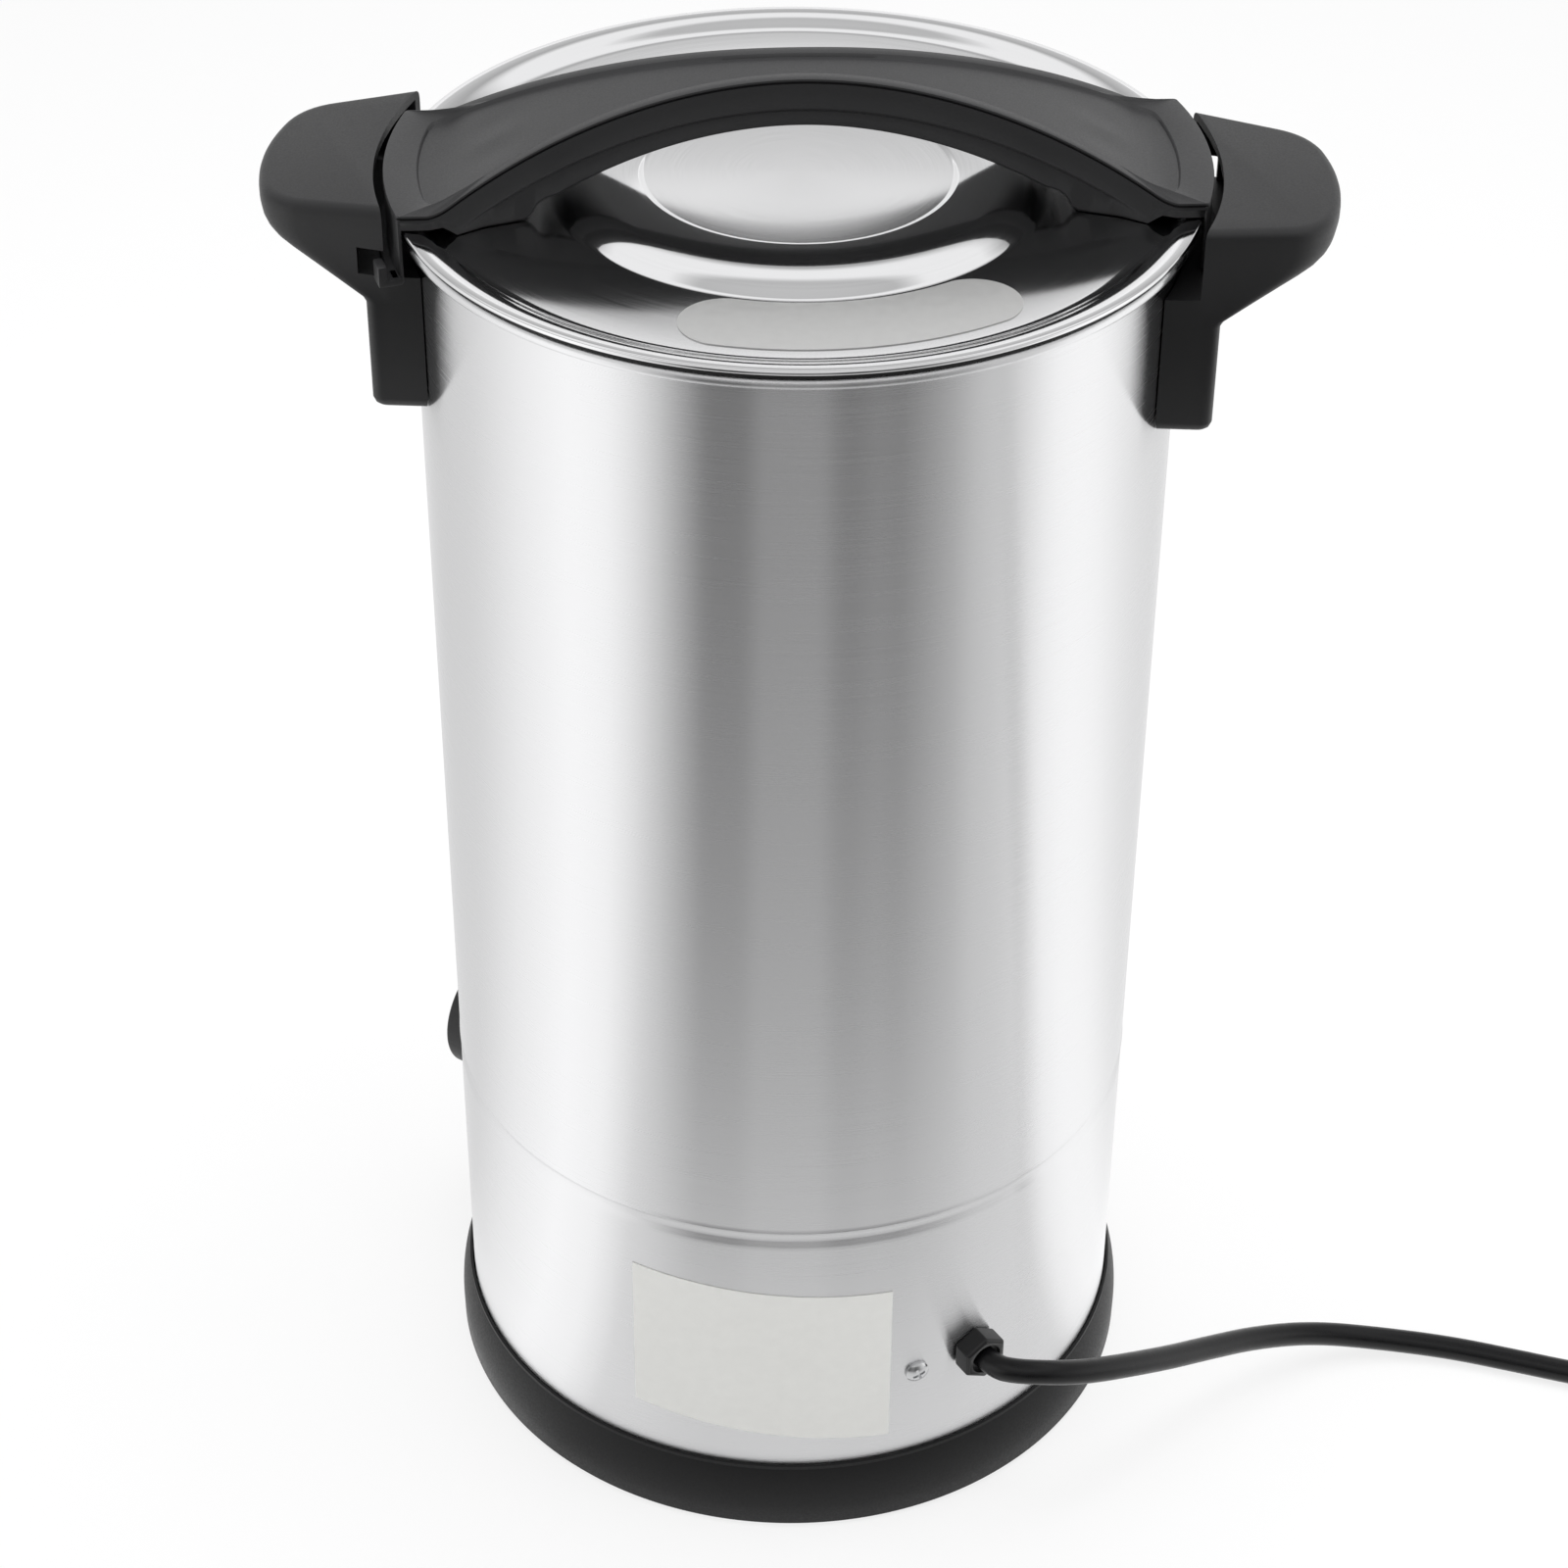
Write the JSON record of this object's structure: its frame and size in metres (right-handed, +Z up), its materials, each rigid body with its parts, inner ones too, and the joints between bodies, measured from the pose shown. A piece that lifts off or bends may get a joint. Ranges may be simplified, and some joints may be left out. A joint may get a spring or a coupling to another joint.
{
  "type": "candle wax melter",
  "caption": "Tall stainless wax melting urn with a lift-off lid under an arched handle, side handles, a heated base and a ball tap.",
  "frame": {"origin": "centre of the base on the table, on the barrel's axis", "axes": "+Z up along the barrel, -Y the rear where the cord leaves, +Y the front with the tap, +X one side handle"},
  "size_m": [0.5525, 0.3576, 0.4649],
  "materials": {
    "amber_lens": "moulded tinted lens",
    "ball_steel": "polished",
    "base_plastic": "fine spark-eroded texture",
    "block_plastic": "moulded polyamide",
    "brushed_barrel": "fine brushing round the barrel",
    "clear_label": "blank film",
    "cord_sheath": "extruded sheath",
    "cover_steel": "mill finish sheet",
    "cutout_bakelite": "moulded phenolic",
    "element_sheath": "oxidised sheath",
    "foot_rubber": "moulded rubber",
    "gland_nylon": "moulded nylon",
    "green_lens": "moulded tinted lens",
    "handle_plastic": "fine spark-eroded texture",
    "heater_aluminium": "cast plate, machined face",
    "knob_plastic": "fine texture",
    "lever_steel": "stamped",
    "lid_handle_plastic": "fine texture, polished sides",
    "pin_brass": "nickel plated brass",
    "plug_plastic": "moulded on the cord",
    "rocker_plastic": "moulded rocker",
    "scale_film": "blank dial film",
    "screw_steel": "plated, cold formed",
    "seal_silicone": "moulded silicone",
    "seat_ptfe": "machined PTFE",
    "sleeve_vinyl": "dipped vinyl",
    "spun_lid": "spun bright, fine turning lines",
    "sticker_film": "blank printed film",
    "switch_plastic": "moulded polyamide",
    "tank_steel": "deep drawn, bright",
    "tap_steel": "turned and polished",
    "zinc_steel": "bright zinc plating"
  },
  "bodies": {
    "housing": {"barrel": "brushed_barrel", "tank_bottom": "tank_steel", "heating_plate": "heater_aluminium", "heating_element": "element_sheath", "tie_rod": "zinc_steel", "plate_nut": "zinc_steel", "thermal_cutout": "cutout_bakelite", "base_ring": "base_plastic", "bottom_cover": "cover_steel", "tie_washer": "zinc_steel", "tie_nut": "zinc_steel", "rubber_feet": "foot_rubber", "cord_gland": "gland_nylon", "gland_nut": "gland_nylon", "earth_screw": "screw_steel", "earth_nut": "screw_steel", "rating_sticker": "sticker_film", "terminal_block": "block_plastic", "thermostat_body": "block_plastic", "thermostat_screws": "screw_steel", "dial_scale": "scale_film", "switch_housing": "switch_plastic", "lamp_lens_amber": "amber_lens", "lamp_lens_green": "green_lens", "lamp_holders": "block_plastic", "tap_shank": "tap_steel", "tap_washers": "seal_silicone", "tap_nut": "tap_steel", "valve_body": "tap_steel", "ball_seats": "seat_ptfe", "spout": "tap_steel", "packing_nut": "tap_steel", "side_handle_left": "handle_plastic", "side_handle_right": "handle_plastic", "handle_screws": "screw_steel", "mains_cord": "cord_sheath", "cord_coil": "cord_sheath", "plug_body": "plug_plastic", "plug_pins": "pin_brass"},
    "tap_handle": {"valve_ball": "ball_steel", "valve_stem": "ball_steel", "tap_lever": "lever_steel", "lever_sleeve": "sleeve_vinyl", "lever_nut": "screw_steel"},
    "thermostat": {"thermostat_shaft": "zinc_steel", "thermostat_knob": "knob_plastic"},
    "rocker": {"switch_rocker": "rocker_plastic"},
    "seal": {"lid_seal": "seal_silicone"},
    "lid": {"lid": "spun_lid", "lid_sticker": "clear_label", "lid_handle": "lid_handle_plastic", "lid_screws": "screw_steel"}
  },
  "joints": [
    {"name": "lid_lift", "type": "slide", "parent": "housing", "child": "seal", "axis": [0, 0, 1], "range_m": [0, 0.15]},
    {"name": "lid_turn", "type": "hinge", "parent": "seal", "child": "lid", "pos_m": [0, 0, 0.43], "axis": [0, 0, 1], "range_deg": [-4.5, 45]},
    {"name": "tap_turn", "type": "hinge", "parent": "housing", "child": "tap_handle", "pos_m": [0, 0.152, 0.17], "axis": [0, 0, 1], "range_deg": [0, 90]},
    {"name": "thermostat_turn", "type": "hinge", "parent": "housing", "child": "thermostat", "pos_m": [-0.09676, 0.05232, 0.071], "axis": [-0.8796, 0.4756, 0], "range_deg": [-270, 0]},
    {"name": "rocker_tilt", "type": "hinge", "parent": "housing", "child": "rocker", "pos_m": [0.09588, 0.05184, 0.071], "axis": [-0.4756, 0.8796, 0], "range_deg": [-9, 0]}
  ]
}
